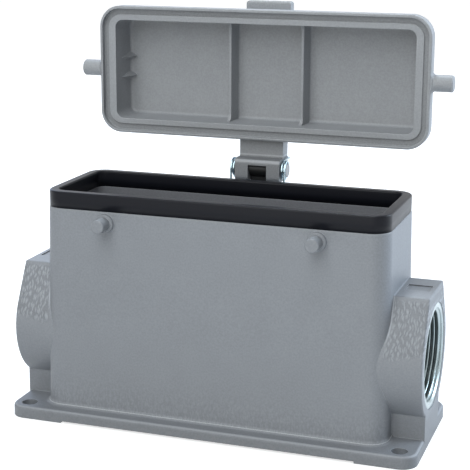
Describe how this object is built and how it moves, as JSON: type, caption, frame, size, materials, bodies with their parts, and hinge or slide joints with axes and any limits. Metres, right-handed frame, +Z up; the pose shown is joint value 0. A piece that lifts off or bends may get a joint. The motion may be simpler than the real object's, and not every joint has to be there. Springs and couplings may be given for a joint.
{
  "type": "rectangular connector housing with hinged cover",
  "caption": "Surface-mount metal housing for a rectangular power connector, with sealed rim, locking pegs, side cable entries and a hinged, sprung metal cover.",
  "frame": {"origin": "middle of the four mounting holes, on the mounting plane", "axes": "+X along the housing towards the right entry, +Y to the hinge side, +Z up to the rim"},
  "size_m": [0.145, 0.0782, 0.1425],
  "materials": {
    "housing_paint": "powder coated, satin",
    "cover_paint": "powder coated, satin",
    "seal_rubber": "moulded, satin",
    "entry_zinc": "zinc plated, turned",
    "bracket_black": "black coated, satin",
    "spring_zinc": "zinc plated, bright",
    "pin_steel": "stainless, turned",
    "screw_zinc": "zinc plated, satin"
  },
  "bodies": {
    "housing_body": {"housing": "housing_paint", "rim_seal": "seal_rubber", "entry_insert_right": "entry_zinc", "entry_insert_left": "entry_zinc", "hinge_bracket": "bracket_black", "torsion_spring_right": "spring_zinc", "torsion_spring_left": "spring_zinc", "bracket_washer_right": "screw_zinc", "bracket_washer_left": "screw_zinc", "bracket_screw_right": "screw_zinc", "bracket_screw_left": "screw_zinc"},
    "cover_body": {"cover": "cover_paint", "hinge_pin": "pin_steel"}
  },
  "joints": [
    {"name": "cover_hinge", "type": "hinge", "parent": "housing_body", "child": "cover_body", "pos_m": [0, 0.0341, 0.0826], "axis": [1, 0, 0], "range_deg": [0, 90]}
  ]
}
